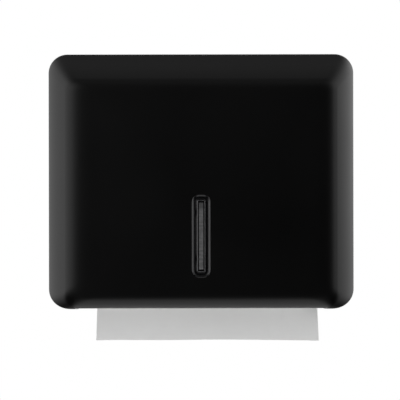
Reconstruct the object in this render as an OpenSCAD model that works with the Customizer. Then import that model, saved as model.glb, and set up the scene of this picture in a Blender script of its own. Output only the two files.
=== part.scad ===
// Multifold towel dispenser for a wall: a chassis on the wall, a magazine with an
// outlet below it, and a drop-down cover with a window and a quarter-turn lock.
// X runs to the right, +Y into the wall and +Z up. The wall is the plane y = 0,
// and the origin is the middle of the four wall screws. Sizes are millimetres.

/* [Casing] */
// Width of the cover at its rear edge
body_w = 314; // [306:1:322]
// Height of the cover at its rear edge
body_h = 261; // [258:1:264]
// Height of the cover's top above the middle of the wall screws
body_up = 129; // [128:0.5:130]
// Depth of the whole casing, from the wall to the crown of the front
body_d = 105; // [103:0.5:108]
// Wall thickness of the cover
cover_wall = 2.8; // [2.4:0.1:3.2]
// Corner radius of the cover's outline at the rear edge
rear_corner_r = 19.5; // [18:0.5:21]
// Corner radius of the outline where the cover meets its front face
front_corner_r = 9; // [7:0.5:11]
// How far the sides lean in between the rear edge and the front face
side_reach = 36; // [34:0.5:37]
// How far the top leans in
top_reach = 39.5; // [38:0.5:41]
// How far the bottom leans in
bottom_reach = 20; // [19.5:0.1:20.5]
// Radius between a side or the top and the front face
edge_r = 12; // [11:0.5:13]
// Radius between the bottom and the front face
bottom_edge_r = 15; // [14:0.5:16]
// Height of the front face's crown
crown = 0.8; // [0.4:0.1:1.5]

/* [Chassis] */
// Thickness of the back plate
plate_t = 3; // [2.5:0.1:3.5]
// Depth of the rim that shows between the wall and the cover
flange_d = 8; // [7:0.5:8]
// Gap between that rim and the cover's rear edge
seam = 1; // [1:0.5:1.5]
// Distance between the wall screws across
wall_screw_w = 270; // [268:1:272]
// Distance between the wall screws up and down
wall_screw_h = 180; // [170:1:190]
// Radius of the wall screws' holes
wall_hole_r = 2.75; // [2.25:0.05:3]

/* [Magazine] */
// Clear width between the side guides
magazine_w = 242; // [241:1:244]
// Wall thickness of the side guides
guide_t = 2.2; // [2:0.1:2.6]
// Height of the side guides' top edge above the middle
guide_top = 88; // [80:1:90]
// Width of the flange that holds the stack in at the front
front_flange_w = 14; // [10:1:16]
// Height of the outlet tray's floor
floor_z = -116; // [-116.5:0.5:-115.5]
// Length of the outlet slot
outlet_w = 234; // [233.5:0.5:234]
// Front to back opening of the outlet slot
outlet_d = 35; // [32:1:36]

/* [Hinge] */
// Height of the hinge line above the cover's lowest edge
hinge_up = 10; // [10:0.5:10.5]
// Distance of the hinge line from the wall
hinge_out = 20; // [20:0.5:21]
// Radius of the hinge pins
pin_r = 2.5; // [2:0.1:2.8]

/* [Lock] */
// Distance from the cover's rear edge to the lock's axis
lock_u = 18; // [17:0.5:20]
// Radius of the lock barrel
barrel_r = 6; // [5.8:0.1:6.2]
// Radius of the turning plug
plug_r = 4.2; // [4:0.05:4.3]
// Length of the cam from the lock's axis to its tip
cam_l = 17.5; // [16.5:0.5:18]

/* [Window] */
// Width of the window lens
lens_w = 18.2; // [17:0.2:19]
// Height of the window lens
lens_h = 81.5; // [78:0.5:84]
// Height of the window's middle
lens_z = -55.2; // [-58:0.2:-52]
// Width of the slot that the lens covers
sight_w = 8.6; // [8:0.2:9]
// Height of the slot that the lens covers
sight_h = 70.7; // [69.7:0.5:71.2]

/* [Towels] */
// Width of a towel
towel_w = 221; // [210:1:221]
// Depth of a folded towel
fold_d = 76.5; // [74:0.5:77]
// Height of the stack of folded towels
stack_h = 130; // [60:1:160]
// Height of the free end of the first towel
towel_end_z = -159.5; // [-160:0.5:-156]
// How far the first towel lies to the right of the middle
towel_shift = 6; // [0:0.5:6]

/* [Hidden] */
$fn = 64;

half_w = body_w / 2;
body_down = body_h - body_up;
middle_z = (body_up - body_down) / 2;
// The cover runs from its rear edge to the edge of its front face over shell_d.
cover_rear = flange_d + seam;
shell_d = body_d - crown - cover_rear;
face_z = ((body_up - top_reach) - (body_down - bottom_reach)) / 2;

hinge_y = -hinge_out;
hinge_z = -body_down + hinge_up;
ear_t = 4;
ear_r = 5.6;
knuckle_x = 129.2;
knuckle_l = 8.5;
ear_gap = 0.3;
relief_r = hinge_up + 0.6;

// The cover's bottom wall is open between these, from the lip backwards.
mouth_half_w = 124.3;
mouth_h = 21;
lip_y = -92;

guide_x = magazine_w / 2;
guide_front_y = -95;
guide_foot_y = -9;
guide_foot_t = 2.2;
guide_foot_w = 10.8;
guide_screw_x = guide_x + guide_t + 5.8;
guide_screw_z = 60;

tray_half_w = guide_x - 0.4;
tray_t = 3;
tray_front_y = -92;
tray_flange_y = -6;
tray_flange_t = 2.5;
tray_screw_x = 80;
tray_screw_z = -104;
bead_r = 3;
outlet_y = -52.5;

screw_r = 1.5;
screw_hole_r = 1.6;
pilot_end = 1.8;
screw_head_r = 3.4;
boss_r = 4.2;

striker_x = 9.5;
striker_w = 9;
striker_t = 2;
striker_arm_z = 105;
striker_lip_y = -31.8;
striker_lip_h = 11;
striker_foot_h = 22;
striker_screw_z = 90;

// The lock sits square to the sloping top, sunk flush: w counts outwards from the surface.
top_arc_r = arc_radius(top_reach, edge_r);
lock_tilt = asin(lock_u / top_arc_r);
lock_y = -cover_rear - lock_u;
lock_z = body_up - top_arc_r + sqrt(top_arc_r ^ 2 - lock_u ^ 2);
head_r = 7.5;
head_t = 1.8;
spot_w = -2.2;
pad_w = -6;
pad_r = 12;
washer_t = 0.8;
nut_t = 3;
barrel_end_w = -14.5;
cam_w = -15.5;
cam_t = 1.8;
cam_r = 5.5;
tenon = 4.6;
// The barrel's two flats stop it from turning in the cover.
flat_y = 0.8 - barrel_r;

lens_corner_r = 5.4;
lens_bed_y = -body_d + 1.8;
peg_z = lens_h / 2 - 2.75;
peg_r = 1.2;

stack_rear_y = -13;
stack_gap = 1;

// Shared shapes

// A 2D shape in x and z becomes a slab from start to start + depth in front of the wall.
module from_wall(start, depth) {
    translate([0, -start, 0]) rotate([90, 0, 0]) linear_extrude(depth) children();
}

// A 2D shape in y and z becomes a bar along X.
module along_x(start, length) {
    translate([start, 0, 0]) rotate([90, 0, 90]) linear_extrude(length) children();
}

// A round bar along Y from the wall side outwards.
module rod_y(x, z, start, length, r) {
    translate([x, -start, z]) rotate([90, 0, 0]) cylinder(h = length, r = r);
}

module rounded_rect(w, h, r) {
    square([w - 2 * r, h], center = true);
    square([w, h - 2 * r], center = true);
    for (x = [-1, 1], z = [-1, 1])
        translate([x * (w / 2 - r), z * (h / 2 - r)]) circle(r);
}

module both_sides() {
    children();
    mirror([1, 0, 0]) children();
}

module at_lock() {
    translate([0, lock_y, lock_z]) rotate([lock_tilt, 0, 0]) children();
}

// A pan-head screw with a cross recess, its head's underside at distance seat from the wall.
module pan_screw(x, z, seat, length, head_h = 2.4) {
    difference() {
        union() {
            rod_y(x, z, seat, head_h - 0.6, screw_head_r);
            translate([x, -seat - head_h + 0.6, z]) rotate([90, 0, 0])
                cylinder(h = 0.6, r1 = screw_head_r, r2 = screw_head_r - 0.6);
            rod_y(x, z, seat - length, length, screw_r);
        }
        for (turn = [0, 90])
            translate([x, -seat - head_h, z]) rotate([0, turn, 0])
                cube([3.6, 2.4, 0.8], center = true);
    }
}

// The cover's shell

// Radius of the long arc that leans in by reach and meets the edge radius r smoothly.
function arc_radius(reach, r) =
    ((shell_d - r) ^ 2 + reach ^ 2 - r ^ 2) / (2 * (reach - r));

// How far a side has leaned in at distance u from the rear edge, t below the surface.
function lean(u, reach, r, t) =
    let (arc = arc_radius(reach, r),
         knee = (arc - t) * (shell_d - r) / (arc - r))
    u <= knee ? arc - sqrt((arc - t) ^ 2 - u ^ 2)
              : reach - sqrt(max(0, (r - t) ^ 2 - (u - shell_d + r) ^ 2));

// The outline at distance u from the rear edge: a rectangle with rounded corners.
corner_steps = 9;
function outline(u, t) =
    let (x = half_w - lean(u, side_reach, edge_r, t),
         top = body_up - lean(u, top_reach, edge_r, t),
         bottom = -body_down + lean(u, bottom_reach, bottom_edge_r, t),
         share = lean(u, side_reach, edge_r, t) / side_reach,
         r = rear_corner_r + (front_corner_r - rear_corner_r) * share - t)
    [for (corner = [[x, top, 0], [-x, top, 90], [-x, bottom, 180], [x, bottom, 270]],
          step = [0:corner_steps])
        let (turn = corner[2] + 90 * step / corner_steps)
        [corner[0] - sign(corner[0]) * r + r * cos(turn),
         corner[1] - sign(corner[1] - face_z) * r + r * sin(turn)]];

// Rings from the rear edge forward, closer together round the front edge.
straight_share = 0.82;
function stations(t) =
    concat([for (i = [0:6]) (shell_d - t) * straight_share * i / 7],
           [for (i = [0:8]) (shell_d - t) * (straight_share + (1 - straight_share) * sin(90 * i / 8))]);

// The crowned face closes each skin with shrinking copies of the last ring.
crown_scales = [0.86, 0.66, 0.4, 0.15];
function skin(t) =
    let (last = outline(shell_d - t, t))
    concat([for (u = stations(t), p = outline(u, t)) [p[0], -cover_rear - u, p[1]]],
           [for (s = crown_scales, p = last)
               [p[0] * s, -cover_rear - shell_d + t - crown * (1 - s ^ 2),
                face_z + (p[1] - face_z) * s]]);

ring_n = 4 * (corner_steps + 1);
skin_rings = len(stations(0)) + len(crown_scales);

function band(first, i, j, flip) =
    let (a = first + i * ring_n + j, b = first + i * ring_n + (j + 1) % ring_n,
         c = a + ring_n, d = b + ring_n)
    flip ? [[a, c, b], [b, c, d]] : [[a, b, c], [b, d, c]];

module shell() {
    inner = skin_rings * ring_n;
    faces = concat(
        [for (i = [0:skin_rings - 2], j = [0:ring_n - 1], f = band(0, i, j, true)) f],
        [for (i = [0:skin_rings - 2], j = [0:ring_n - 1], f = band(inner, i, j, false)) f],
        [for (j = [0:ring_n - 1])
            [j, (j + 1) % ring_n, inner + (j + 1) % ring_n, inner + j]],
        [[for (j = [ring_n - 1:-1:0]) inner - ring_n + j]],
        [[for (j = [0:ring_n - 1]) 2 * inner - ring_n + j]]);
    polyhedron(points = concat(skin(0), skin(cover_wall)), faces = faces);
}

// The chassis

// The cover's outline at the rear, drawn in by inset.
module rear_outline(inset) {
    translate([0, middle_z])
        rounded_rect(body_w - 2 * inset, body_h - 2 * inset, rear_corner_r - inset);
}

module ring_wall(inset, t, depth) {
    from_wall(0, depth) difference() {
        rear_outline(inset);
        rear_outline(inset + t);
    }
}

module hinge_ear(x) {
    along_x(x, ear_t) difference() {
        union() {
            translate([hinge_y, hinge_z]) circle(ear_r);
            polygon([[hinge_y - ear_r, hinge_z], [hinge_y - ear_r, hinge_z + 21],
                     [-plate_t + 0.5, hinge_z + 35], [-plate_t + 0.5, hinge_z + 11],
                     [hinge_y + ear_r, hinge_z + 11], [hinge_y + ear_r, hinge_z]]);
        }
        translate([hinge_y, hinge_z]) circle(pin_r + 0.02);
    }
}

module back_plate() {
    rib_t = 1.6;
    rib_d = 7;
    rim_d = 14;
    edge_in = 1.5;
    field_d = 0.8;
    color([0.035, 0.035, 0.037]) difference() {
        union() {
            from_wall(0, plate_t) rear_outline(edge_in);
            ring_wall(edge_in, 3, flange_d);
            difference() {
                ring_wall(6, 2.2, rim_d);
                translate([-half_w, -30, -body_down - 1]) cube([body_w, 30 - plate_t, 39]);
            }
            for (x = [-90, -40, 40, 90])
                translate([x - rib_t / 2, -rib_d, -94]) cube([rib_t, rib_d, 214]);
            for (z = [-50, 0, 50, 100])
                translate([-half_w + 12, -rib_d, z]) cube([body_w - 24, rib_d, rib_t]);
            for (x = [-1, 1], z = [-1, 1]) {
                rod_y(x * wall_screw_w / 2, z * wall_screw_h / 2, 0, rib_d, 6.5);
                rod_y(x * guide_screw_x, z * guide_screw_z, 0, -guide_foot_y, boss_r);
            }
            for (x = [-1, 0, 1])
                rod_y(x * tray_screw_x, tray_screw_z, 0, -tray_flange_y, boss_r);
            for (x = striker_screws_x())
                rod_y(x, striker_screw_z, 0, -guide_foot_y, boss_r);
            both_sides() {
                hinge_ear(knuckle_x - ear_gap - ear_t);
                hinge_ear(knuckle_x + knuckle_l + ear_gap);
            }
        }
        for (x = [-1, 1], z = [-1, 1]) {
            rod_y(x * wall_screw_w / 2, z * wall_screw_h / 2, -1, rib_d + 2, wall_hole_r);
            rod_y(x * guide_screw_x, z * guide_screw_z, pilot_end, 20, screw_hole_r);
        }
        for (x = [-1, 0, 1])
            rod_y(x * tray_screw_x, tray_screw_z, pilot_end, 20, screw_hole_r);
        for (x = striker_screws_x())
            rod_y(x, striker_screw_z, pilot_end, 20, screw_hole_r);
        // shallow fields in the wall side, between the lands that bear on the wall
        for (x = [-90, 0, 90], z = [-60, 60])
            translate([x, 0, z]) from_wall(-1, 1 + field_d) rounded_rect(72, 96, 6);
    }
}

module side_guide() {
    rib_t = 1.8;
    slot_w = 12;
    color([0.05, 0.05, 0.052]) difference() {
        union() {
            // the wall beside the stack
            translate([guide_x, guide_front_y, floor_z - tray_t])
                cube([guide_t, guide_foot_y - guide_front_y, guide_top - floor_z + tray_t]);
            // the foot on the back plate
            translate([guide_x, guide_foot_y - guide_foot_t, -72])
                cube([guide_t + guide_foot_w, guide_foot_t, 148]);
            // the flange in front of the stack
            translate([guide_x - front_flange_w, guide_front_y, floor_z + 3])
                cube([front_flange_w + guide_t, guide_t, guide_top - floor_z - 28]);
            // stiffening ribs on the outer face
            for (z = [-85, -30, 25, 70])
                translate([0, 0, z]) linear_extrude(rib_t)
                    polygon([[guide_x + 1, guide_foot_y - 2], [guide_x + guide_t + 8, guide_foot_y - 2],
                             [guide_x + guide_t + 3, -88], [guide_x + 1, -88]]);
        }
        // hand slots, rounded at both ends
        for (y = [-74, -50, -26])
            translate([guide_x - 1, y, 0]) rotate([0, 90, 0]) {
                for (z = [-1, 1])
                    translate([z * 9 + 2, 0, 0]) cylinder(h = guide_t + 2, r = slot_w / 2);
                translate([2 - 9, -slot_w / 2, 0]) cube([18, slot_w, guide_t + 2]);
            }
        // lead-in at the top front corner
        translate([guide_x - 30, guide_front_y - 1, guide_top]) rotate([0, 90, 0])
            linear_extrude(60) polygon([[-1, -1], [26, -1], [-1, 26]]);
        for (z = [-1, 1])
            rod_y(guide_screw_x, z * guide_screw_z, 5, 20, screw_hole_r + 0.1);
    }
}

module left_side_guide() {
    mirror([1, 0, 0]) side_guide();
}

module right_side_guide() {
    side_guide();
}

module outlet_tray() {
    tray_rear_y = tray_flange_y;
    slot_front_y = outlet_y - outlet_d / 2;
    slot_rear_y = outlet_y + outlet_d / 2;
    color([0.05, 0.05, 0.052]) difference() {
        union() {
            difference() {
                translate([-tray_half_w, tray_front_y, floor_z - tray_t])
                    cube([2 * tray_half_w, tray_rear_y - tray_front_y, tray_t]);
                translate([-outlet_w / 2 - bead_r, slot_front_y - bead_r, floor_z - tray_t - 1])
                    cube([outlet_w + 2 * bead_r, outlet_d + 2 * bead_r, tray_t + 2]);
            }
            // a round bead along all four sides of the slot
            intersection() {
                union() {
                    for (y = [slot_front_y - bead_r, slot_rear_y + bead_r])
                        translate([-outlet_w / 2 - bead_r, y, floor_z - bead_r]) rotate([0, 90, 0])
                            cylinder(h = outlet_w + 2 * bead_r, r = bead_r);
                    for (x = [-1, 1])
                        translate([x * (outlet_w / 2 + bead_r), slot_front_y - bead_r, floor_z - bead_r])
                            rotate([-90, 0, 0]) cylinder(h = outlet_d + 2 * bead_r, r = bead_r);
                }
                translate([-tray_half_w, -90, floor_z - 10]) cube([2 * tray_half_w, 80, 10]);
            }
            // the front lip and the flange on the back plate
            translate([-tray_half_w, tray_front_y, floor_z - tray_t])
                cube([2 * tray_half_w, 2, tray_t + 9]);
            translate([-tray_half_w, tray_flange_y - tray_flange_t, floor_z - tray_t])
                cube([2 * tray_half_w, tray_flange_t, 22]);
            // low ribs below the ledges
            for (x = [-105:35:105]) {
                translate([x - 0.8, tray_front_y, floor_z - tray_t - 2.5])
                    cube([1.6, slot_front_y - tray_front_y - bead_r, 3]);
                translate([x - 0.8, slot_rear_y + bead_r, floor_z - tray_t - 2.5])
                    cube([1.6, tray_rear_y - slot_rear_y - bead_r, 3]);
            }
        }
        for (x = [-1, 0, 1])
            rod_y(x * tray_screw_x, tray_screw_z, 5, 20, screw_hole_r + 0.1);
    }
}

module guide_screws() {
    color([0.75, 0.75, 0.76])
        for (x = [-1, 1], z = [-1, 1])
            pan_screw(x * guide_screw_x, z * guide_screw_z, guide_foot_t - guide_foot_y, 8.5);
}

module tray_screws() {
    color([0.75, 0.75, 0.76])
        for (x = [-1, 0, 1])
            pan_screw(x * tray_screw_x, tray_screw_z, tray_flange_t - tray_flange_y, 6.5, 2);
}

function striker_screws_x() = [striker_x - 0.5, striker_x + striker_w + 0.5];

module lock_striker() {
    base_y = guide_foot_y - striker_t;
    color([0.7, 0.7, 0.72]) difference() {
        union() {
            translate([striker_x - 4.5, base_y, striker_arm_z + striker_t - striker_foot_h])
                cube([striker_w + 9, striker_t, striker_foot_h]);
            translate([striker_x, striker_lip_y - striker_t, striker_arm_z])
                cube([striker_w, base_y - striker_lip_y + striker_t + 1, striker_t]);
            translate([striker_x, striker_lip_y - striker_t, striker_arm_z])
                cube([striker_w, striker_t, striker_lip_h]);
        }
        for (x = striker_screws_x())
            rod_y(x, striker_screw_z, 5, 20, screw_hole_r + 0.1);
    }
}

module striker_screws() {
    color([0.75, 0.75, 0.76])
        for (x = striker_screws_x())
            pan_screw(x, striker_screw_z, striker_t - guide_foot_y, 8.5);
}

module hinge_pin() {
    start = knuckle_x - ear_gap - ear_t - 1;
    length = knuckle_l + 2 * (ear_gap + ear_t) + 2;
    color([0.72, 0.72, 0.74]) translate([start, hinge_y, hinge_z]) rotate([0, 90, 0]) {
        translate([0, 0, 0.5]) cylinder(h = length - 1, r = pin_r);
        cylinder(h = 0.5, r1 = pin_r - 0.5, r2 = pin_r);
        translate([0, 0, length - 0.5]) cylinder(h = 0.5, r1 = pin_r, r2 = pin_r - 0.5);
    }
}

module left_hinge_pin() {
    mirror([1, 0, 0]) hinge_pin();
}

module right_hinge_pin() {
    hinge_pin();
}

// The cover and what is on it

module knuckle() {
    translate([knuckle_x, hinge_y, hinge_z]) rotate([0, 90, 0]) cylinder(h = knuckle_l, r = ear_r);
    translate([knuckle_x, hinge_y - ear_r, -body_down + cover_wall - 0.8])
        cube([knuckle_l, 2 * ear_r - 3, hinge_up - cover_wall + 0.8]);
}

module front_cover() {
    color([0.012, 0.012, 0.013]) difference() {
        union() {
            difference() {
                shell();
                // the mouth above the towels' way out
                translate([-mouth_half_w, lip_y, -body_down - 1])
                    cube([2 * mouth_half_w, -lip_y, mouth_h]);
                // room for the lower rear corner to turn about the hinge
                difference() {
                    translate([-half_w - 1, hinge_y, -body_down - 1])
                        cube([body_w + 2, 30, hinge_up + 1]);
                    translate([-half_w - 2, hinge_y, hinge_z]) rotate([0, 90, 0])
                        cylinder(h = body_w + 4, r = relief_r);
                }
            }
            both_sides() knuckle();
            // upright ribs behind the front face
            for (x = [-90, -45, 45, 90])
                translate([x - 0.9, -cover_rear - shell_d + 1.6, -94]) cube([1.8, 5.2, 168]);
            // the pad under the lock
            at_lock() translate([0, 0, pad_w]) cylinder(h = -1.5 - pad_w, r = pad_r);
        }
        both_sides() translate([knuckle_x - 1, hinge_y, hinge_z]) rotate([0, 90, 0])
            cylinder(h = knuckle_l + 2, r = pin_r + 0.06);
        at_lock() {
            translate([0, 0, spot_w]) cylinder(h = 6, r = head_r + 0.2);
            intersection() {
                translate([0, 0, pad_w - 1]) cylinder(h = 12, r = barrel_r + 0.1);
                translate([-barrel_r - 1, flat_y - 0.1, pad_w - 2])
                    cube([2 * barrel_r + 2, -2 * flat_y + 0.2, 14]);
            }
        }
        // the window's bed, its slot and the holes for its two pegs
        translate([0, 0, lens_z]) {
            from_wall(-lens_bed_y, 5) rounded_rect(lens_w + 0.3, lens_h + 0.3, lens_corner_r + 0.15);
            from_wall(95, 15) square([sight_w, sight_h], center = true);
            for (z = [-1, 1]) rod_y(0, z * peg_z, 95, 10, peg_r + 0.1);
        }
    }
}

module window_lens() {
    rim_w = 1.7;
    proud = 0.7;
    face_y = body_d - 0.3;
    color([0.1, 0.1, 0.105, 0.6]) translate([0, 0, lens_z]) {
        from_wall(-lens_bed_y, face_y + lens_bed_y - 0.5) rounded_rect(lens_w, lens_h, lens_corner_r);
        // the raised rim round the lens
        from_wall(-lens_bed_y, face_y + lens_bed_y + proud) difference() {
            rounded_rect(lens_w, lens_h, lens_corner_r);
            rounded_rect(lens_w - 2 * rim_w, lens_h - 2 * rim_w, lens_corner_r - rim_w);
        }
        // the raised bar over the slot, and the plug in it, hollow from behind
        difference() {
            from_wall(98.5, face_y + 0.4 - 98.5) square([sight_w - 0.2, sight_h - 0.2], center = true);
            from_wall(98, 5) square([4.3, 66], center = true);
        }
        for (z = [-1, 1]) rod_y(0, z * peg_z, 98, 6, peg_r);
    }
}

module lens_push_nuts() {
    color([0.7, 0.7, 0.72]) translate([0, 0, lens_z])
        for (z = [-1, 1]) difference() {
            rod_y(0, z * peg_z, 98.9, 0.5, 2.5);
            rod_y(0, z * peg_z, 98, 2, peg_r + 0.05);
        }
}

module lock_barrel() {
    color([0.78, 0.78, 0.8]) at_lock() difference() {
        union() {
            translate([0, 0, spot_w]) cylinder(h = head_t - 0.4, r = head_r);
            translate([0, 0, spot_w + head_t - 0.4]) cylinder(h = 0.4, r1 = head_r, r2 = head_r - 0.4);
            intersection() {
                translate([0, 0, barrel_end_w]) cylinder(h = spot_w - barrel_end_w + 0.5, r = barrel_r);
                translate([-barrel_r - 1, flat_y, barrel_end_w - 1])
                    cube([2 * barrel_r + 2, -2 * flat_y, 20]);
            }
        }
        translate([0, 0, barrel_end_w - 1]) cylinder(h = 30, r = plug_r + 0.05);
    }
}

module lock_washer() {
    color([0.72, 0.72, 0.74]) at_lock() difference() {
        translate([0, 0, pad_w - washer_t]) cylinder(h = washer_t, r = 9.5);
        translate([0, 0, pad_w - 2]) cylinder(h = 3, r = barrel_r + 0.1);
    }
}

module lock_nut() {
    across_flats = 15;
    color([0.72, 0.72, 0.74]) at_lock() difference() {
        translate([0, 0, pad_w - washer_t - nut_t])
            cylinder(h = nut_t, r = across_flats / 2 / cos(30), $fn = 6);
        translate([0, 0, pad_w - 6]) cylinder(h = 6, r = barrel_r + 0.1);
    }
}

module lock_plug() {
    color([0.8, 0.8, 0.82]) at_lock() difference() {
        union() {
            translate([0, 0, cam_w]) cylinder(h = spot_w + head_t - 0.3 - cam_w, r = plug_r);
            translate([-tenon / 2, -tenon / 2, cam_w - cam_t]) cube([tenon, tenon, cam_t + 0.5]);
        }
        // the keyway, and the thread for the cam's screw
        translate([-0.6, -2.6, -7]) cube([1.2, 5.2, 8]);
        translate([-1.5, -0.9, -7]) cube([3, 1.8, 8]);
        translate([0, 0, cam_w - cam_t - 1]) cylinder(h = 7, r = screw_r);
    }
}

module lock_cam() {
    color([0.68, 0.68, 0.7]) at_lock() translate([0, 0, cam_w - cam_t]) linear_extrude(cam_t)
        difference() {
            union() {
                circle(cam_r + 1.5);
                translate([-cam_r, 0]) square([2 * cam_r, cam_l - cam_r]);
                translate([0, cam_l - cam_r]) circle(cam_r);
            }
            square(tenon + 0.1, center = true);
        }
}

module cam_washer() {
    color([0.72, 0.72, 0.74]) at_lock() difference() {
        translate([0, 0, cam_w - cam_t - washer_t]) cylinder(h = washer_t, r = 4.4);
        translate([0, 0, cam_w - cam_t - 1]) cylinder(h = 2, r = screw_hole_r);
    }
}

module cam_screw() {
    head_w = cam_w - cam_t - washer_t;
    color([0.75, 0.75, 0.77]) at_lock() difference() {
        union() {
            translate([0, 0, head_w - 2]) cylinder(h = 2, r = screw_head_r);
            translate([0, 0, head_w - 0.1]) cylinder(h = 6.5, r = screw_r - 0.05);
        }
        for (turn = [0, 90])
            translate([0, 0, head_w - 2]) rotate([0, 0, turn]) cube([3.6, 0.8, 2], center = true);
    }
}

// The paper

module towel_stack() {
    edge = 3;
    color([0.62, 0.62, 0.61]) along_x(-towel_w / 2, towel_w)
        translate([stack_rear_y - fold_d / 2, floor_z + stack_gap + stack_h / 2])
            rounded_rect(fold_d, stack_h, edge);
}

// The first towel's free end leaves the ledge behind the slot and bends down and forward.
towel_route = [[-34, floor_z + 0.4], [-50, floor_z - 0.6], [-61, -132], [-77.3, towel_end_z]];
towel_offset = [0.35, -0.35];
function towel_point(t) =
    towel_route[0] * (1 - t) ^ 3 + towel_route[1] * 3 * t * (1 - t) ^ 2
    + towel_route[2] * 3 * t ^ 2 * (1 - t) + towel_route[3] * t ^ 3;

module hanging_towel() {
    first = 0.12;
    steps = 14;
    line = [for (i = [0:steps]) towel_point(first + (1 - first) * i / steps)];
    color([0.62, 0.62, 0.61]) along_x(towel_shift - towel_w / 2, towel_w)
        polygon(concat(line, [for (i = [steps:-1:0]) line[i] + towel_offset]));
}

back_plate();
left_side_guide();
right_side_guide();
outlet_tray();
guide_screws();
tray_screws();
lock_striker();
striker_screws();
left_hinge_pin();
right_hinge_pin();
front_cover();
window_lens();
lens_push_nuts();
lock_barrel();
lock_washer();
lock_nut();
lock_plug();
lock_cam();
cam_washer();
cam_screw();
towel_stack();
hanging_towel();
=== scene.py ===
"""A wall-mounted dispenser for folded paper towels, dressed for its portrait.

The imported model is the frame: its steel and chassis parts keep their shape and get their finish
here. The cover, its window and the paper are modelled here and stand for their plain solids.
Lengths are metres; sizes written in millimetres are multiplied by mm.
"""

import math

import bmesh
import bpy
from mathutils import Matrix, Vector


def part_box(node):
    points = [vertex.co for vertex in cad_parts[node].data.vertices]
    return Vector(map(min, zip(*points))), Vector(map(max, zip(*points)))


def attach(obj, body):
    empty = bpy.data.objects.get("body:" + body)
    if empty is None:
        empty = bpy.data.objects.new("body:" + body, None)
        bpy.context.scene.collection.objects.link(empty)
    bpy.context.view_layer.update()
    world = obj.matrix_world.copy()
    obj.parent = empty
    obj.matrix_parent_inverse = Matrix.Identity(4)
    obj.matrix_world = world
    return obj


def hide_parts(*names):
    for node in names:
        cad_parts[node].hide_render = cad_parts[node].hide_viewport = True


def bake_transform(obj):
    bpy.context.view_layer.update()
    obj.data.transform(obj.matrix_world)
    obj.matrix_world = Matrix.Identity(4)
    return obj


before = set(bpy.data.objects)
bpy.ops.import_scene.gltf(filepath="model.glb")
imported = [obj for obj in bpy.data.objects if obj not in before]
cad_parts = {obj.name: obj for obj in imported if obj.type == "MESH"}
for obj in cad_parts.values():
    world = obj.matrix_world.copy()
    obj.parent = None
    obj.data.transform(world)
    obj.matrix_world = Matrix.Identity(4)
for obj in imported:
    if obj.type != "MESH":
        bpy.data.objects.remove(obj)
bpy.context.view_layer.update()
mm = 0.001


# The view: a long lens square to the front, level with the middle of the wall screws. The picture
# is shifted a little, so that the case sits in it as high and as far right as it should.
view_distance = 1605 * mm
picture_px = 400
focal_px = 1540
sensor_mm = 36
case_right_px = 1.1
case_up_px = 20.7
case_roll = math.radians(0.1)

camera = bpy.data.objects.new("camera", bpy.data.cameras.new("camera"))
bpy.context.scene.collection.objects.link(camera)
bpy.context.scene.camera = camera
camera.location = (0, -view_distance, 0)
camera.rotation_euler = (math.radians(90), case_roll, 0)
camera.data.sensor_width = sensor_mm
camera.data.lens = sensor_mm * focal_px / picture_px
camera.data.shift_x = -case_right_px / picture_px
camera.data.shift_y = -case_up_px / picture_px
bpy.context.scene.view_settings.view_transform = "Standard"


# The studio: a white sweep behind the case, a big soft light at its left and a dimmer one at its
# right, a dim ceiling, and a pale glow from low in front. The room behind the camera is dark, as
# a black case needs to show its form. All is drawn in the world, so that it is soft everywhere.
class Wire:
    """A socket in a node tree. Sums on wires add Math nodes; add() makes any other node."""

    def __init__(self, tree, socket=None):
        self.tree = tree
        self.socket = socket

    def add(self, kind, settings=None, sockets=None, out=0):
        node = self.tree.nodes.new(kind)
        for name, value in (settings or {}).items():
            setattr(node, name, value)
        for key, value in (sockets or {}).items():
            if isinstance(value, Wire):
                self.tree.links.new(value.socket, node.inputs[key])
            else:
                node.inputs[key].default_value = value
        return Wire(self.tree, node.outputs[out])

    def beside(self, out):
        """Another output of the node that this wire comes from."""
        return Wire(self.tree, self.socket.node.outputs[out])

    def axes(self):
        x = self.add("ShaderNodeSeparateXYZ", sockets={0: self})
        return x, x.beside(1), x.beside(2)

    def math(self, operation, *values):
        return self.add("ShaderNodeMath", {"operation": operation}, dict(enumerate(values)))

    def __add__(self, other):
        return self.math("ADD", self, other)

    __radd__ = __add__

    def __sub__(self, other):
        return self.math("SUBTRACT", self, other)

    def __rsub__(self, other):
        return self.math("SUBTRACT", other, self)

    def __mul__(self, other):
        return self.math("MULTIPLY", self, other)

    __rmul__ = __mul__

    def __truediv__(self, other):
        return self.math("DIVIDE", self, other)

    def __pow__(self, other):
        return self.math("POWER", self, other)

    def __gt__(self, other):
        return self.math("GREATER_THAN", self, other)

    def __abs__(self):
        return self.math("ABSOLUTE", self)

    def within(self, low, high):
        return self.math("MINIMUM", self.math("MAXIMUM", self, low), high)

    def ramp(self, start, end, low=0.0, high=1.0):
        """Turns smoothly from low to high as the wire goes from start to end."""
        return self.add("ShaderNodeMapRange", {"interpolation_type": "SMOOTHSTEP"},
                        {0: self, 1: start, 2: end, 3: low, 4: high})

    def towards(self, first, second):
        """first where the wire is 0 and second where it is 1."""
        return first + self * (second - first)


world = bpy.data.worlds.new("studio")
bpy.context.scene.world = world
world.use_nodes = True
sky = Wire(world.node_tree)
right, back, up = sky.add("ShaderNodeTexCoord").axes()
# front is 1 straight out from the case's face and -1 behind the case. lift is 1 overhead and -1
# underfoot, however far to the front a direction lies.
front = 0 - back
off_axis = sky.math("SQRT", (1 - back * back).within(0.0001, 1))
lift = up / off_axis
dark_ahead = 1 - front.within(0, 1) ** 8
left_light = front.ramp(-0.95, 0.12, 0.34, 1.08) * dark_ahead
# The right light is strongest beside the case, ends ahead of its face and grows upwards.
right_level = front.ramp(-0.85, -0.60, 0.48, 0.41) + front.ramp(-0.40, 0.05, 0.0, 0.26)
right_light = right_level * front.ramp(0.2, 1.0, 1.0, 0.0) * lift.ramp(-0.16, 0.16, 0.8, 1.2)
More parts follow.
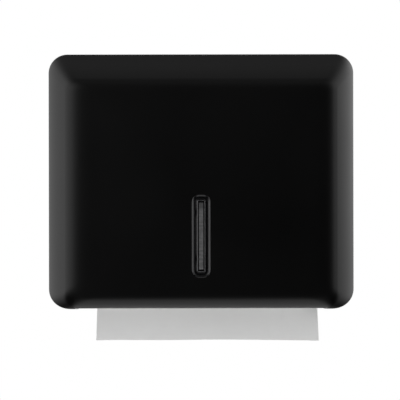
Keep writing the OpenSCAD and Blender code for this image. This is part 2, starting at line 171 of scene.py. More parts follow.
# Both side lights fade out downwards, and sooner the further in front they are.
low_end = front.ramp(-0.95, -0.30, -0.85, -0.48)
high_end = low_end * 0.6 + 0.24
side_light = (right > 0).towards(left_light, right_light) * lift.ramp(low_end, high_end)
ceiling_light = front.ramp(-1.02, -0.42, 0.03, 0.165) * dark_ahead
table_reach = (1 - (front / 0.96) ** 4).within(0, 1)
table_light = table_reach * front.ramp(-0.9, -0.2, 0.58, 0.88) * lift.ramp(-0.96, -0.84, 1.0, 0.0)
room = lift.ramp(0.45, 0.90).towards(side_light, ceiling_light) + table_light
# Matt surfaces get a plain light that is stronger from below, as a pale floor gives.
plain = up.ramp(-0.50, 0.30, 1.44, 0.36)
sweep = back.ramp(0.970, 0.990)
rays = sky.add("ShaderNodeLightPath")
seen = rays.beside("Is Camera Ray")
matte = rays.beside("Is Diffuse Ray")
mirrored = (rays.beside("Is Glossy Ray") + rays.beside("Is Transmission Ray")).within(0, 1)
sees_sweep = mirrored * sweep
level = seen.towards(matte.towards(sees_sweep.towards(room, 1.0), plain), 1.0)
world.cycles.sampling_method = "NONE"
world.node_tree.links.new(level.socket, world.node_tree.nodes["Background"].inputs["Strength"])
world.node_tree.nodes["Background"].inputs["Color"].default_value = (1, 1, 1, 1)


# The back plate carries everything: a flat moulding of black ABS with a rim, a grid of ribs and
# bosses, and two pairs of ears for the hinge pins. Four screws hold it to the wall.
def finish_of(name, constants):
    """A material with these fixed values, its shader's node, and a wire of Object coordinates."""
    made = bpy.data.materials.new(name)
    made.use_nodes = True
    shader = made.node_tree.nodes["Principled BSDF"]
    for socket, value in constants.items():
        shader.inputs[socket].default_value = value
    place = Wire(made.node_tree).add("ShaderNodeTexCoord", out="Object")
    return made, shader, place


def drive(shader, **wires):
    """Joins wires to a shader's sockets: base_color goes to Base Color."""
    for name, wire in wires.items():
        socket = shader.inputs[name.replace("_", " ").title()]
        wire.tree.links.new(wire.socket, socket)


def noise(place, scale, detail=2.0, roughness=0.5, stretch=(1, 1, 1)):
    """Noise of about 1 / scale metres across, drawn out along the axes whose stretch is small."""
    turned = place.add("ShaderNodeMapping", sockets={"Vector": place, "Scale": stretch})
    return place.add("ShaderNodeTexNoise", {"noise_dimensions": "3D"},
                     {"Vector": turned, "Scale": scale, "Detail": detail, "Roughness": roughness})


def tinted(place, share, low, high):
    """A colour between low and high, as the wire share says."""
    return place.add("ShaderNodeMix", {"data_type": "RGBA"},
                     {0: share, 6: (*low, 1), 7: (*high, 1)}, out=2)


def raised(place, height, depth, strength=1.0):
    """The normal of a surface whose height wire of 1 stands depth metres proud."""
    return place.add("ShaderNodeBump", sockets={"Height": height, "Distance": depth,
                                                "Strength": strength})


def moulded_plastic(name, low, high, gloss, grain_per_m, grain_depth):
    """Moulded plastic: an etched grain, faint flow clouds and fine hairlines in the gloss."""
    made, shader, place = finish_of(name, {"IOR": 1.46})
    grain = noise(place, grain_per_m, 3.0, 0.6)
    clouds = noise(place, 14, 2.0)
    hairs = noise(place, 60, 4.0, 0.7, (0.08, 1, 1.4))
    worn = hairs.ramp(0.60, 0.74)
    drive(shader,
          base_color=tinted(place, clouds * 0.7 + grain * 0.3, low, high),
          roughness=(clouds - 0.5) * 0.10 + (grain - 0.5) * 0.08 - worn * 0.05 + gloss,
          normal=raised(place, grain, grain_depth))
    return made


def dress(material, *names):
    """Gives CAD nodes a finish. Their shape is right and stays."""
    for name in names:
        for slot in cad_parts[name].material_slots:
            slot.material = material


chassis_black = moulded_plastic("chassis_black", (0.018, 0.018, 0.019), (0.030, 0.030, 0.032),
                                0.55, 1500, 0.03 * mm)
dress(chassis_black, "back_plate")


# The magazine: two side guides and an outlet tray of dark grey polypropylene. The guides are
# screwed to bosses on the back plate, and the tray hangs by its rear flange below them.
magazine_grey = moulded_plastic("magazine_grey", (0.032, 0.033, 0.035), (0.050, 0.051, 0.054),
                                0.48, 1100, 0.04 * mm)
dress(magazine_grey, "left_side_guide", "right_side_guide", "outlet_tray")


# The hardware: pan-head screws, hinge pins, push nuts, the catch and the lock's inner parts are
# zinc-plated steel, with the spangle and the brighter rubbed places of thin plating.
zinc, zinc_shader, zinc_place = finish_of("zinc_plate", {"Metallic": 1.0})
zinc_spangle = noise(zinc_place, 900, 3.0, 0.6)
zinc_clouds = noise(zinc_place, 160, 2.0)
zinc_draw = noise(zinc_place, 2600, 2.0, 0.5, (0.1, 1, 1))
drive(zinc_shader,
      base_color=tinted(zinc_place, zinc_spangle * 0.5 + zinc_clouds * 0.5,
                        (0.50, 0.51, 0.53), (0.68, 0.68, 0.69)),
      roughness=zinc_clouds * 0.18 + zinc_spangle * 0.10 + 0.22,
      normal=raised(zinc_place, zinc_draw, 0.01 * mm))
dress(zinc, "guide_screws", "tray_screws", "striker_screws", "lock_striker", "left_hinge_pin",
      "right_hinge_pin", "lens_push_nuts", "lock_washer", "lock_nut", "lock_cam", "cam_washer",
      "cam_screw")


# The lock: a cam lock with a die-cast barrel and plug, plated in black nickel. It sits flush in
# the cover's top, where a flat key turns it a quarter.
nickel, nickel_shader, nickel_place = finish_of("black_nickel", {"Metallic": 1.0})
nickel_turning = noise(nickel_place, 1800, 2.0)
nickel_clouds = noise(nickel_place, 220, 2.0)
drive(nickel_shader,
      base_color=tinted(nickel_place, nickel_clouds, (0.150, 0.149, 0.154), (0.240, 0.237, 0.243)),
      roughness=nickel_clouds * 0.16 + nickel_turning * 0.10 + 0.24,
      normal=raised(nickel_place, nickel_turning, 0.01 * mm))
dress(nickel, "lock_barrel", "lock_plug")


# The cover: one deep moulding of black ABS with a satin grain. Long arcs lean its sides and top
# in towards a slightly crowned front, round edges join them, and the bottom is open for the
# towels. It hinges at its lower rear edge on two knuckles.
cover_low, cover_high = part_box("front_cover")
lens_low, lens_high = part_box("window_lens")
cover_wall = 2.8 * mm
crown = 0.8 * mm
cover_bottom = -132 * mm
side_lean = 33.6 * mm
top_lean = 39.5 * mm
bottom_lean = 20 * mm
edge_r = 12 * mm
bottom_edge_r = 15 * mm
fade_tilt = math.radians(25)
side_fade = 5.3 * mm
end_fade = 2.8 * mm
rear_corner_r = 19.5 * mm
front_corner_r = 9 * mm
low_front_corner_r = 15 * mm
cover_width = cover_high.x - cover_low.x
loft_depth = cover_high.y - cover_low.y - crown

# The rings of points take even steps over arc_share of the depth, then ever finer ones through the
# front edge, down to last_gap of what is left, and last they shrink to the middle of the crown.
arc_rings = 14
edge_rings = 44
crown_rings = 9
corner_steps = 16
run_steps = 34
arc_share = 0.80
last_gap = 0.001


def new_tree(name, sizes):
    """An empty Geometry Nodes tree with an input for each size, and their wires."""
    tree = bpy.data.node_groups.new(name, "GeometryNodeTree")
    tree.interface.new_socket(name="Geometry", in_out="OUTPUT", socket_type="NodeSocketGeometry")
    for size in sizes:
        tree.interface.new_socket(name=size, in_out="INPUT", socket_type="NodeSocketFloat")
    entry = tree.nodes.new("NodeGroupInput")
    return Wire(tree), [Wire(tree, entry.outputs[size]) for size in sizes]


def close_tree(wire, geometry, material):
    """Ends a tree: instances become real, and the material is set."""
    real = wire.add("GeometryNodeRealizeInstances", sockets={"Geometry": geometry})
    painted = wire.add("GeometryNodeSetMaterial", sockets={"Geometry": real, "Material": material})
    wire.tree.links.new(painted.socket, wire.tree.nodes.new("NodeGroupOutput").inputs["Geometry"])


def plain_mesh(thing, name):
    """What a thing's modifiers make of it, as a plain object of that name. The thing goes."""
    graph = bpy.context.evaluated_depsgraph_get()
    mesh = bpy.data.meshes.new_from_object(thing.evaluated_get(graph))
    bpy.data.objects.remove(thing)
    made = bpy.data.objects.new(name, mesh)
    mesh.name = name
    bpy.context.scene.collection.objects.link(made)
    return made


def grow(name, wire, sizes):
    """The plain mesh that a tree makes at these sizes."""
    thing = bpy.data.objects.new(name + "_tree", bpy.data.meshes.new(name + "_tree"))
    bpy.context.scene.collection.objects.link(thing)
    modifier = thing.modifiers.new("tree", "NODES")
    modifier.node_group = wire.tree
    for entry in wire.tree.interface.items_tree:
        if entry.in_out == "INPUT":
            modifier[entry.identifier] = float(sizes[entry.name])
    return plain_mesh(thing, name)


def leaned(wire, along, depth, reach, round_r, fade):
    """How far a side leans in at a distance along from the rear edge.

    A long arc meets a round, which turns until it is fade_tilt off the front's plane. From there
    the surface fades into the front: what is left of its depth falls by e over each fade.
    """
    left = fade * math.tan(fade_tilt)
    full = depth - left + round_r * (1 - math.cos(fade_tilt))
    arc = ((full - round_r) ** 2 + reach ** 2 - round_r ** 2) / ((reach - round_r) * 2)
    knee = arc * (full - round_r) / (arc - round_r)
    on_arc = arc - wire.math("SQRT", arc ** 2 - along ** 2)
    past = along - full + round_r
    on_round = reach - wire.math("SQRT", wire.math("MAXIMUM", round_r ** 2 - past ** 2, 0.0))
    in_fade = (reach - round_r * math.sin(fade_tilt)
               + fade * wire.math("LOGARITHM", left / (depth - along), math.e))
    front_of_arc = (along > depth - left).towards(on_round, in_fade)
    return (along > knee).towards(on_arc, front_of_arc)


cover_sizes = {"Width": cover_width, "Top": cover_high.z, "Bottom": cover_bottom, "Depth": loft_depth,
               "From wall": -cover_high.y, "Crown": crown, "Side lean": side_lean,
               "Top lean": top_lean, "Bottom lean": bottom_lean, "Edge radius": edge_r,
               "Bottom edge radius": bottom_edge_r, "Rear corner radius": rear_corner_r,
               "Front corner radius": front_corner_r, "Low front corner radius": low_front_corner_r,
               "Side fade": side_fade, "End fade": end_fade}
loft, (width, top, bottom, depth, from_wall, crowning, side_in, top_in, bottom_in, round_r,
       bottom_round_r, rear_r, front_r, low_front_r, side_fading,
       end_fading) = new_tree("cover_loft", cover_sizes)
quarter_steps = corner_steps + run_steps
columns = 4 * quarter_steps + 1
rings = arc_rings + edge_rings + crown_rings + 1
index = loft.add("GeometryNodeInputIndex")
ring = loft.math("FLOOR", (index + 0.5) / columns)
step_in_ring = index - ring * columns
quarter = loft.math("FLOOR", (step_in_ring + 0.5) / quarter_steps)
step = step_in_ring - quarter * quarter_steps
turned = (step / corner_steps).within(0, 1)
run = ((step - corner_steps) / run_steps).within(0, 1)
angle = (quarter + turned) * math.radians(90)
past_arc = ((ring - arc_rings) / edge_rings).within(0, 1)
along = ((ring / arc_rings).within(0, 1) * arc_share
         + (1 - loft.math("POWER", last_gap, past_arc)) * (1 - arc_share)) * depth
shrink = 1 - ((ring - arc_rings - edge_rings) / crown_rings).within(0, 1)


def quarter_sign(wave, number):
    """The sign of a corner's x or z in a quarter: wave is COSINE or SINE."""
    middle = (number + 0.5) * math.radians(90)
    return loft.math("SIGN", loft.math(wave, middle))


side_now = leaned(loft, along, depth, side_in, round_r, side_fading)
half_wide = width / 2 - side_now
top_now = top - leaned(loft, along, depth, top_in, round_r, end_fading)
bottom_now = bottom + leaned(loft, along, depth, bottom_in, bottom_round_r, end_fading)
corner_x = run.towards(quarter_sign("COSINE", quarter), quarter_sign("COSINE", quarter + 1))
corner_z = run.towards(quarter_sign("SINE", quarter), quarter_sign("SINE", quarter + 1))
front_r_here = ((1 - corner_z) / 2).towards(front_r, low_front_r)
corner_r = (side_now / side_in).towards(rear_r, front_r_here)
ring_x = corner_x * (half_wide - corner_r) + loft.math("COSINE", angle) * corner_r
ring_z = ((top_now + bottom_now) / 2 + corner_z * ((top_now - bottom_now) / 2 - corner_r)
          + loft.math("SINE", angle) * corner_r)
face_middle = (top - top_in + bottom + bottom_in) / 2
face_y = 0 - (from_wall + along + crowning * (1 - shrink ** 2))
point = loft.add("ShaderNodeCombineXYZ", sockets={
    0: ring_x * shrink, 1: face_y, 2: face_middle + (ring_z - face_middle) * shrink})
grid = loft.add("GeometryNodeMeshGrid", sockets={"Vertices X": rings, "Vertices Y": columns})
skin = loft.add("GeometryNodeSetPosition", sockets={"Geometry": grid, "Position": point})
sewn = loft.add("GeometryNodeMergeByDistance", sockets={"Geometry": skin, "Distance": 0.002 * mm})
outwards = loft.add("GeometryNodeFlipFaces", sockets={"Mesh": sewn})
cover_black, cover_shader, cover_place = finish_of("cover_black", {"IOR": 1.45})
close_tree(loft, outwards, cover_black)
cover_shell = grow("cover_shell", loft, cover_sizes)


def solid(name, build):
    """An object whose mesh build() fills in, with its faces turned outwards."""
    work = bmesh.new()
    build(work)
    bmesh.ops.recalc_face_normals(work, faces=work.faces)
    mesh = bpy.data.meshes.new(name)
    work.to_mesh(mesh)
    work.free()
    made = bpy.data.objects.new(name, mesh)
    bpy.context.scene.collection.objects.link(made)
    return made


def prism(work, outline, shift):
    """A closed bar whose end has this outline of points, drawn out along shift."""
    first = [work.verts.new(p) for p in outline]
    last = [work.verts.new(Vector(p) + Vector(shift)) for p in outline]
    count = len(outline)
    work.faces.new(first)
    work.faces.new(list(reversed(last)))
    for i in range(count):
        j = (i + 1) % count
        work.faces.new([first[i], last[i], last[j], first[j]])


def bar(work, low, high):
    """A block between two corners."""
    (x0, y0, z0), (x1, y1, z1) = low, high
    prism(work, [(x0, y0, z0), (x1, y0, z0), (x1, y0, z1), (x0, y0, z1)], (0, y1 - y0, 0))


def circle(centre, radius, first_axis, second_axis, steps=48, start=0.0, end=360.0):
    """Points round a circle or an arc. A whole circle doesn't repeat its first point."""
    count = steps if end - start >= 360 else steps + 1
    turns = [math.radians(start + (end - start) * i / steps) for i in range(count)]
    first, second = Vector(first_axis), Vector(second_axis)
    return [Vector(centre) + radius * (math.cos(t) * first + math.sin(t) * second) for t in turns]


def rounded(width, height, radius, y, z, steps=10):
    """A rounded rectangle seen from the front, as points at depth y with its middle at height z."""
    points = []
    for quarter, (sx, sz) in enumerate([(1, 1), (-1, 1), (-1, -1), (1, -1)]):
        corner = (sx * (width / 2 - radius), y, z + sz * (height / 2 - radius))
        points += circle(corner, radius, (1, 0, 0), (0, 0, 1), steps, 90 * quarter, 90 * quarter + 90)
    return points


hinge_y = -20 * mm
hinge_z = cover_bottom + 10 * mm
knuckle_r = 5.6 * mm
knuckle_x = 129.2 * mm
knuckle_l = 8.5 * mm
pin_hole_r = 2.56 * mm
relief_r = 10.6 * mm
mouth_half_w = 124.3 * mm
mouth_h = 20 * mm
lip_y = -92 * mm
rib_t = 1.8 * mm
rib_front_y = -102.6 * mm
rib_rear_y = -97.4 * mm
rib_low_z = -94 * mm
rib_high_z = 74 * mm
outside_y = -110 * mm
inside_y = -95 * mm
lens_z = (lens_low.z + lens_high.z) / 2
lens_w = lens_high.x - lens_low.x
lens_h = lens_high.z - lens_low.z
lens_corner_r = 7.4 * mm
lens_bed_y = -103.2 * mm
lens_play = 0.15 * mm
slot_w = 8.6 * mm
slot_h = 70.7 * mm
peg_z = lens_h / 2 - 2.75 * mm
peg_hole_r = 1.3 * mm
lock_u = 18 * mm
top_arc_r = ((loft_depth - edge_r) ** 2 + top_lean ** 2 - edge_r ** 2) / (2 * (top_lean - edge_r))
lock_tilt = math.asin(lock_u / top_arc_r)
lock_point = Vector((0, cover_high.y - lock_u,
                     cover_high.z - top_arc_r + math.sqrt(top_arc_r ** 2 - lock_u ** 2)))
lock_up = Vector((0, -math.sin(lock_tilt), math.cos(lock_tilt)))
lock_back = Vector((0, math.cos(lock_tilt), math.sin(lock_tilt)))
pad_r = 12 * mm
pad_low = 6 * mm
pad_high = 1.5 * mm
seat_r = 7.7 * mm
seat_depth = 2.2 * mm
barrel_hole_r = 6.1 * mm
barrel_flat = 5.3 * mm


def stiffeners(work):
    """The inner ribs, the knuckles and the pad under the lock."""
    for x in (-90 * mm, -45 * mm, 45 * mm, 90 * mm):
        bar(work, (x - rib_t / 2, rib_front_y, rib_low_z), (x + rib_t / 2, rib_rear_y, rib_high_z))
    heel_y = hinge_y + 2.6 * mm
    heel_turn = -math.degrees(math.acos((heel_y - hinge_y) / knuckle_r))
    barrel = circle((0, hinge_y, hinge_z), knuckle_r, (0, 1, 0), (0, 0, 1), 36, heel_turn, 180)
    foot_z = cover_bottom + 2 * mm
    outline = [Vector((0, heel_y, foot_z)), *barrel, Vector((0, hinge_y - knuckle_r, foot_z))]
    for x in (knuckle_x, -knuckle_x - knuckle_l):
        prism(work, [p + Vector((x, 0, 0)) for p in outline], (knuckle_l, 0, 0))
    pad = circle(lock_point - pad_low * lock_up, pad_r, (1, 0, 0), lock_back, 64)
    prism(work, pad, (pad_low - pad_high) * lock_up)


def towel_mouth(work):
    bar(work, (-mouth_half_w, lip_y, cover_bottom - mm), (mouth_half_w, 2 * mm, cover_bottom + mouth_h))


def heel_relief(work):
    """Room for the lower rear corner to turn about the hinge."""
    side = cover_width / 2 + 2 * mm
    arc = circle((-side, hinge_y, hinge_z), relief_r, (0, 1, 0), (0, 0, 1), 24, -90, 0)
    below = cover_bottom - 2 * mm
    behind = 10 * mm
    prism(work, [*arc, (-side, behind, hinge_z), (-side, behind, below), (-side, hinge_y, below)],
          (2 * side, 0, 0))


def window_bed(work):
    prism(work, rounded(lens_w + 2 * lens_play, lens_h + 2 * lens_play, lens_corner_r + lens_play,
                        lens_bed_y, lens_z), (0, -5 * mm, 0))


def window_slot(work):
    bar(work, (-slot_w / 2, outside_y, lens_z - slot_h / 2),
        (slot_w / 2, inside_y, lens_z + slot_h / 2))


def peg_holes(work):
    for side in (-1, 1):
        rim = circle((0, inside_y, lens_z + side * peg_z), peg_hole_r, (1, 0, 0), (0, 0, 1), 24)
        prism(work, rim, (0, outside_y - inside_y, 0))


def pin_holes(work):
    for x in (knuckle_x - mm, -knuckle_x - knuckle_l - mm):
        rim = circle((x, hinge_y, hinge_z), pin_hole_r, (0, 1, 0), (0, 0, 1), 32)
        prism(work, rim, (knuckle_l + 2 * mm, 0, 0))


def lock_seat(work):
    rim = circle(lock_point - seat_depth * lock_up, seat_r, (1, 0, 0), lock_back, 64)
    prism(work, rim, 8 * mm * lock_up)


def lock_hole(work):
    """A round hole with two flats, which keep the barrel from turning."""
    outline = []
    for point in circle((0, 0, 0), barrel_hole_r, (1, 0, 0), lock_back, 64):
        back = point.dot(lock_back)
        past_flat = max(0, abs(back) - barrel_flat)
        outline.append(lock_point + point - math.copysign(past_flat, back) * lock_back)
    prism(work, [p - 8 * mm * lock_up for p in outline], 12 * mm * lock_up)


def smooth_but_sharp(thing, degrees):
    """Shades a mesh smooth, apart from edges that turn by more than this."""
    for face in thing.data.polygons:
        face.use_smooth = True
    thing.data.set_sharp_from_angle(angle=math.radians(degrees))


wall = cover_shell.modifiers.new("wall", "SOLIDIFY")
wall.thickness = cover_wall
wall.offset = -1
wall.use_even_offset = True
rim = cover_shell.modifiers.new("rim", "BEVEL")
rim.width = 0.5 * mm
rim.segments = 3
rim.limit_method = "ANGLE"
rim.angle_limit = math.radians(50)
tools = []
for build in (stiffeners, towel_mouth, heel_relief, window_bed, window_slot, peg_holes, pin_holes,
              lock_seat, lock_hole):
    tools.append(solid(build.__name__, build))
    cut = cover_shell.modifiers.new(build.__name__, "BOOLEAN")
    cut.operation = "UNION" if build is stiffeners else "DIFFERENCE"
    cut.solver = "MANIFOLD"
    cut.object = tools[-1]
cover = plain_mesh(cover_shell, "moulded_cover")
for tool in tools:
    bpy.data.objects.remove(tool)
smooth_but_sharp(cover, 32)

cover_grain = noise(cover_place, 1700, 3.0, 0.55)
cover_clouds = noise(cover_place, 11, 2.0)
cover_hairs = noise(cover_place, 45, 5.0, 0.7, (1, 1, 0.07)).ramp(0.62, 0.76)
drive(cover_shader,
      base_color=tinted(cover_place, cover_clouds * 0.6 + cover_grain * 0.4,
                        (0.0011, 0.0011, 0.0012), (0.0021, 0.0021, 0.0022)),
      roughness=(cover_clouds - 0.5) * 0.08 + (cover_grain - 0.5) * 0.06 - cover_hairs * 0.03 + 0.30,
      normal=raised(cover_place, cover_grain, 0.02 * mm))
cover.data.materials.clear()
cover.data.materials.append(cover_black)
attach(cover, "cover")
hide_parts("front_cover")


# The window: a lens of smoke-tinted polycarbonate with a polished rim, its highlights painted. A raised
# frame stands round a frosted strip, into whose colour the stack behind it is painted as light, to show
# how full it is. Two pegs at its back hold push nuts inside the cover.
lens_runs = 44
pinch_z = 22.9 * mm
pinch_half = 1.7 * mm


def lens_ring(width, height, radius, y, pinch=0.0):
    """A rounded rectangle with its long sides in short steps, drawn in a little at two heights."""
    points = []
    end_z = height / 2 - radius
    for quarter, (sx, sz) in enumerate([(1, 1), (-1, 1), (-1, -1), (1, -1)]):
        corner = Vector((sx * (width / 2 - radius), y, sz * end_z))
        points += circle(corner, radius, (1, 0, 0), (0, 0, 1), 8, 90 * quarter, 90 * quarter + 90)
        if sx == -sz:
            for i in range(1, lens_runs):
                z = sz * end_z * (1 - 2 * i / lens_runs)
                drawn = pinch * math.exp(-((abs(z) - pinch_z) / pinch_half) ** 2)
                points.append(Vector((sx * (width / 2 - drawn), y, z)))
    return [p + Vector((0, 0, lens_z)) for p in points]


def loft_between(work, outlines):
    """Closed rings of equal count, joined in a row, with both ends filled."""
    rows = [[work.verts.new(p) for p in outline] for outline in outlines]
    count = len(rows[0])
    for row, following in zip(rows, rows[1:]):
        for i in range(count):
            j = (i + 1) % count
            work.faces.new([row[i], row[j], following[j], following[i]])
    work.faces.new(list(reversed(rows[0])))
    work.faces.new(rows[-1])


def lens_body(work):
    """From the bottom of the hollow at the back, out round the rim, and in to the strip.

    Each outline is a width, a height and a corner radius. After it comes how far its long sides
    are drawn in at the two pinches, and then its rings, as insets and depths in millimetres.
    """
    hollow = (4.3 * mm, 66 * mm, 0.3 * mm)
    plug = (slot_w - 0.2 * mm, slot_h - 0.2 * mm, 0.4 * mm)
    whole = (lens_w, lens_h, lens_corner_r)
    dish = (8.4 * mm, 70.5 * mm, 1.15 * mm)
    frame_edge = (8.1 * mm, 70.2 * mm, 1.0 * mm)
    strip = (4.3 * mm, 65.4 * mm, 0.6 * mm)
    least_r = 0.12 * mm
    profile = [
        (hollow, 0, [(0, -102.9), (0, -98.5)]),
        (plug, 0, [(0.15, -98.5), (0, -98.65), (0, -103.2)]),
        (whole, 0, [(0.15, -103.2), (0, -103.35), (0, -104.75), (0.12, -105.12), (0.42, -105.36),
                    (0.75, -105.4), (1.05, -105.3), (1.75, -104.5), (2.0, -104.25), (2.3, -104.2)]),
        (dish, 0, [(0, -104.2)]),
        (frame_edge, 0.8 * mm, [(0, -104.28), (0.15, -104.75), (0.35, -105.05), (0.6, -105.1),
                                (0.8, -104.85), (0.9, -104.4)]),
        (strip, 0, [(-0.1, -104.35), (0, -104.45), (0.1, -104.85), (0.35, -104.98), (1.0, -105.0)])]
    rings = []
    for (width, height, radius), pinch, steps in profile:
        for inset_mm, y_mm in steps:
            inset = inset_mm * mm
            rings.append(lens_ring(width - 2 * inset, height - 2 * inset, max(radius - inset, least_r),
                                   y_mm * mm, pinch))
    loft_between(work, rings)


def lens_pegs(work):
    """Two round pegs with chamfered tips, as radii and depths in millimetres."""
    peg = [(0.9, -97.9), (1.2, -98.3), (1.2, -103.4)]
    for side in (-1, 1):
        z = lens_z + side * peg_z
        loft_between(work, [circle((0, y * mm, z), r * mm, (1, 0, 0), (0, 0, 1), 24) for r, y in peg])


def lens_mesh(work):
    lens_body(work)
    lens_pegs(work)


lens = solid("window_lens_moulding", lens_mesh)
smooth_but_sharp(lens, 40)
smoke, smoke_shader, smoke_place = finish_of("smoked_polycarbonate", {"IOR": 1.585})
# The strip is frosted, and the lit stack behind it is painted into its colour as painted light, with
# painted shade above the stack. The frame round it has a painted highlight along its sides, weaker at
# its ends, and the rim has a painted highlight where its own sides turn away towards the side lights.
across, _, upright = smoke_place.axes()
sideways = abs(across)
from_middle = abs(upright - lens_z)
on_strip = (1 - sideways.ramp(1.95 * mm, 2.2 * mm)) * (1 - from_middle.ramp(32.3 * mm, 32.8 * mm))
# Painted highlight: the rim pales where its sides turn away towards the side lights, and not at its
# ends.
rim_highlight = sideways.ramp(6.3 * mm, 8.5 * mm, 0.0, 0.42)
# Painted highlight along the frame's crest, stronger along its sides than at its ends.
beyond_x = sideways - 3.66 * mm
beyond_z = from_middle - 34.65 * mm
off_frame = abs(smoke_place.math("MAXIMUM", beyond_x, beyond_z))
frame_highlight = off_frame.ramp(0.15 * mm, 0.60 * mm, 1.0, 0.0) * beyond_z.ramp(-1.0 * mm, 0.0, 0.90, 0.40)
smears = noise(smoke_place, 420, 3.0, 0.6)
folds = noise(smoke_place, 190, 3.0, 0.65, (0.5, 1, 1.3))
# Painted light: the lit stack behind the lens is painted into the strip's colour, with painted shade
# above the stack's top.
painted_shade_above_stack = (upright - lens_z).ramp(22 * mm, 33 * mm, 1.0, 0.42)
painted_strip_light = folds.ramp(0.40, 0.62, 0.52, 0.90) * on_strip * painted_shade_above_stack
# The pale colour carries all the painted light here: the stack in the strip and the highlights on frame
# and rim.
drive(smoke_shader,
      base_color=tinted(smoke_place, (painted_strip_light + rim_highlight + frame_highlight).within(0, 1),
                        (0.003, 0.003, 0.0034), (0.120, 0.120, 0.123)),
      roughness=on_strip * 0.38 + smears * 0.08 + 0.10,
      normal=raised(smoke_place, on_strip * folds, 0.05 * mm))
lens.data.materials.append(smoke)
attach(lens, "cover")
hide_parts("window_lens")


# The stack: interfolded towels of embossed tissue, laid flat. Each is a thin sheet folded over
# at one edge, and every other one opens the other way, so folds and cut edges alternate.
stack_low, stack_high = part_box("towel_stack")
fold_pitch = 1.30 * mm
fold_gap = 0.36 * mm
paper_t = 0.22 * mm
fold_steps = 8
width_steps = 7
stack_margin = 0.6 * mm
stack_seed = 7
stack_sizes = {"Width": stack_high.x - stack_low.x - 2 * stack_margin,
               "Fold depth": stack_high.y - stack_low.y - 2 * stack_margin,
               "Pitch": fold_pitch, "Fold radius": fold_gap,
               "Bottom": stack_low.z + stack_margin, "Middle": (stack_low.y + stack_high.y) / 2,
               "Stack height": stack_high.z - stack_low.z - 2 * stack_margin - 2 * fold_gap,
               "Wave": 0.5 * mm, "Shift": 0.5 * mm}
pile, (width, fold_depth, pitch, fold_r, bottom, middle, high, wave,
       shift) = new_tree("towel_pile", stack_sizes)
index = pile.add("GeometryNodeInputIndex")
row = pile.math("FLOOR", (index + 0.5) / (fold_steps + 1))
column = index - row * (fold_steps + 1)
bend = ((column - 1) / (fold_steps - 2)).within(0, 1) * math.radians(180) - math.radians(90)
at_front = (column > 0.5) - (column > fold_steps - 0.5)
leaf = pile.add("ShaderNodeCombineXYZ", sockets={
    0: (row / width_steps - 0.5) * width,
    1: fold_depth / 2 - at_front * (fold_depth - fold_r + fold_r * pile.math("COSINE", bend)),
    2: fold_r * (1 + pile.math("SINE", bend))})
leaf_grid = pile.add("GeometryNodeMeshGrid", sockets={"Vertices X": width_steps + 1,
                                                      "Vertices Y": fold_steps + 1})
leaf_shape = pile.add("GeometryNodeSetPosition", sockets={"Geometry": leaf_grid, "Position": leaf})
count = pile.math("FLOOR", high / pitch) + 1
lift = pile.add("ShaderNodeCombineXYZ", sockets={2: pitch})
start = pile.add("ShaderNodeCombineXYZ", sockets={1: middle, 2: bottom})
line = pile.add("GeometryNodeMeshLine", sockets={"Count": count, "Start Location": start,
                                                 "Offset": lift})
half_turn = pile.add("GeometryNodeInputIndex") * math.radians(180)
facing = pile.add("ShaderNodeCombineXYZ", sockets={2: half_turn})
leaves = pile.add("GeometryNodeInstanceOnPoints", sockets={"Points": line, "Instance": leaf_shape,
                                                           "Rotation": facing})
stray = pile.add("FunctionNodeRandomValue", {"data_type": "FLOAT_VECTOR"},
                 {0: (-1, -1, 0), 1: (1, 1, 0), "Seed": stack_seed})
strayed = pile.add("ShaderNodeVectorMath", {"operation": "SCALE"}, {0: stray, "Scale": shift})
moved = pile.add("GeometryNodeTranslateInstances", sockets={"Instances": leaves, "Translation": strayed,
                                                            "Local Space": False})
laid = pile.add("GeometryNodeRealizeInstances", sockets={"Geometry": moved})
sway = pile.add("ShaderNodeTexNoise", {"noise_dimensions": "3D"},
                {"Vector": pile.add("GeometryNodeInputPosition"), "Scale": 14.0, "Detail": 1.0})
waved = pile.add("GeometryNodeSetPosition", sockets={
    "Geometry": laid, "Offset": pile.add("ShaderNodeCombineXYZ", sockets={2: (sway - 0.5) * wave})})
tissue, tissue_shader, tissue_place = finish_of("embossed_tissue", {
    "IOR": 1.3, "Subsurface Weight": 1.0, "Subsurface Scale": 0.3 * mm,
    "Subsurface Radius": (1, 1, 1)})
close_tree(pile, waved, tissue)
stack = grow("folded_towels", pile, stack_sizes)
ply = stack.modifiers.new("ply", "SOLIDIFY")
ply.thickness = paper_t
ply.offset = 0
stack = plain_mesh(stack, "folded_towels")
smooth_but_sharp(stack, 50)

tissue_fibres = noise(tissue_place, 900, 4.0, 0.65, (1, 1, 0.5))
tissue_crepe = noise(tissue_place, 420, 2.0, 0.5, (0.16, 1, 1))
tissue_clouds = noise(tissue_place, 30, 3.0)
drive(tissue_shader,
      base_color=tinted(tissue_place, tissue_clouds * 0.5 + tissue_fibres * 0.5,
                        (0.88, 0.88, 0.875), (0.94, 0.94, 0.935)),
      roughness=tissue_fibres * 0.10 + 0.82,
      normal=raised(tissue_place, tissue_crepe * 0.6 + tissue_fibres * 0.4, 0.12 * mm))
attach(stack, "stack")
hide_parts("towel_stack")


# The first towel: its last panel rests on the tray's rear ledge under the stack, bends through
# the slot and hangs down and forward to where a hand takes it, a little right of the middle.
towel_low, towel_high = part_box("hanging_towel")
towel_w = towel_high.x - towel_low.x
towel_x = (towel_low.x + towel_high.x) / 2
ledge_z = -115.62 * mm
route = [Vector((0, -34 * mm, ledge_z)), Vector((0, -50 * mm, -116.6 * mm)),
         Vector((0, -61 * mm, -132 * mm)), Vector((0, -77.3 * mm, -159.5 * mm))]
lying = 14 * mm
towel_rows = 60
towel_columns = 90
towel_t = 0.25 * mm
corner_curl = 1.3 * mm
right_droop = 0.65 * mm


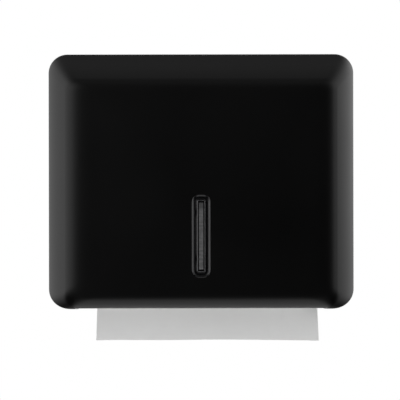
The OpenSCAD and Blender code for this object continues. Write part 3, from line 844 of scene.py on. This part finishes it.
def route_point(t):
    """Where the towel hangs at a share t of its route, as a depth and a height."""
    a, b, c, d = route
    return a * (1 - t) ** 3 + b * 3 * t * (1 - t) ** 2 + c * 3 * t ** 2 * (1 - t) + d * t ** 3


def route_length(steps=200):
    points = [route_point(i / steps) for i in range(steps + 1)]
    return sum((b - a).length for a, b in zip(points, points[1:]))


hanging = route_length()


def towel_mesh(work):
    """Rows across the towel: slow waves grow towards the free end, and its corners curl back."""
    lying_rows = round(towel_rows * lying / (lying + hanging))
    grid = []
    for i in range(towel_rows + 1):
        free = max(0.0, (i - lying_rows) / (towel_rows - lying_rows))
        if i < lying_rows:
            middle = route[0] + Vector((0, lying * (1 - i / lying_rows), 0))
            along = Vector((0, -1, 0))
        else:
            middle = route_point(free)
            along = (route_point(min(1, free + 0.01)) - route_point(max(0, free - 0.01))).normalized()
        outward = Vector((0, along.z, -along.y))
        row = []
        for j in range(towel_columns + 1):
            across = 2 * j / towel_columns - 1
            long_wave = 0.9 * mm * math.sin(2.6 * across + 0.6)
            short_wave = 0.35 * mm * math.sin(6.5 * across - 1.1 + 2 * free)
            proud = (long_wave + short_wave - corner_curl * abs(across) ** 6) * free ** 2
            place = middle + right_droop * across * free * along + proud * outward
            row.append(work.verts.new(place + Vector((towel_x + across * towel_w / 2, 0, 0))))
        grid.append(row)
    for above, below in zip(grid, grid[1:]):
        for j in range(towel_columns):
            work.faces.new([above[j], above[j + 1], below[j + 1], below[j]])


towel = solid("hanging_towel_sheet", towel_mesh)
ply = towel.modifiers.new("ply", "SOLIDIFY")
ply.thickness = towel_t
ply.offset = 0
towel = plain_mesh(towel, "hanging_towel_sheet")
smooth_but_sharp(towel, 50)
towel.data.materials.append(tissue)
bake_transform(towel)
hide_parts("hanging_towel")


# The floor: a plain pale disc well below, under the case that hangs on its wall. It keeps the
# case's shadow and turns to the white of the sweep towards its edge.
floor_z = -1700 * mm
floor_r = 8000 * mm


def floor_disc(work):
    rim = circle((0, 0, floor_z), floor_r, (1, 0, 0), (0, 1, 0), 96)
    work.faces.new([work.verts.new(p) for p in rim])


floor = solid("floor", floor_disc)
pale, pale_shader, pale_place = finish_of("pale_floor", {"Roughness": 0.9})
pale_cloud = noise(pale_place, 3, 2.0)
drive(pale_shader, base_color=tinted(pale_place, pale_cloud, (0.84, 0.84, 0.84), (0.88, 0.88, 0.88)))
floor_right, floor_back, _ = pale_place.axes()
from_case = pale_place.math("SQRT", floor_right * floor_right + floor_back * floor_back)
rays = pale_place.add("ShaderNodeLightPath", out="Is Camera Ray")
seen = (rays + rays.beside("Is Glossy Ray") + rays.beside("Is Transmission Ray")).within(0, 1)
whiteness = seen * from_case.ramp(0.0, 2.5, 0.75, 1.0)
white = pale_place.add("ShaderNodeEmission", sockets={"Strength": 1.0})
shaded = Wire(pale.node_tree, pale_shader.outputs[0])
blended = pale_place.add("ShaderNodeMixShader", sockets={0: whiteness, 1: shaded, 2: white})
output = pale.node_tree.nodes["Material Output"]
pale.node_tree.links.new(blended.socket, output.inputs["Surface"])
floor.data.materials.append(pale)
floor.visible_glossy = False
floor.visible_diffuse = False
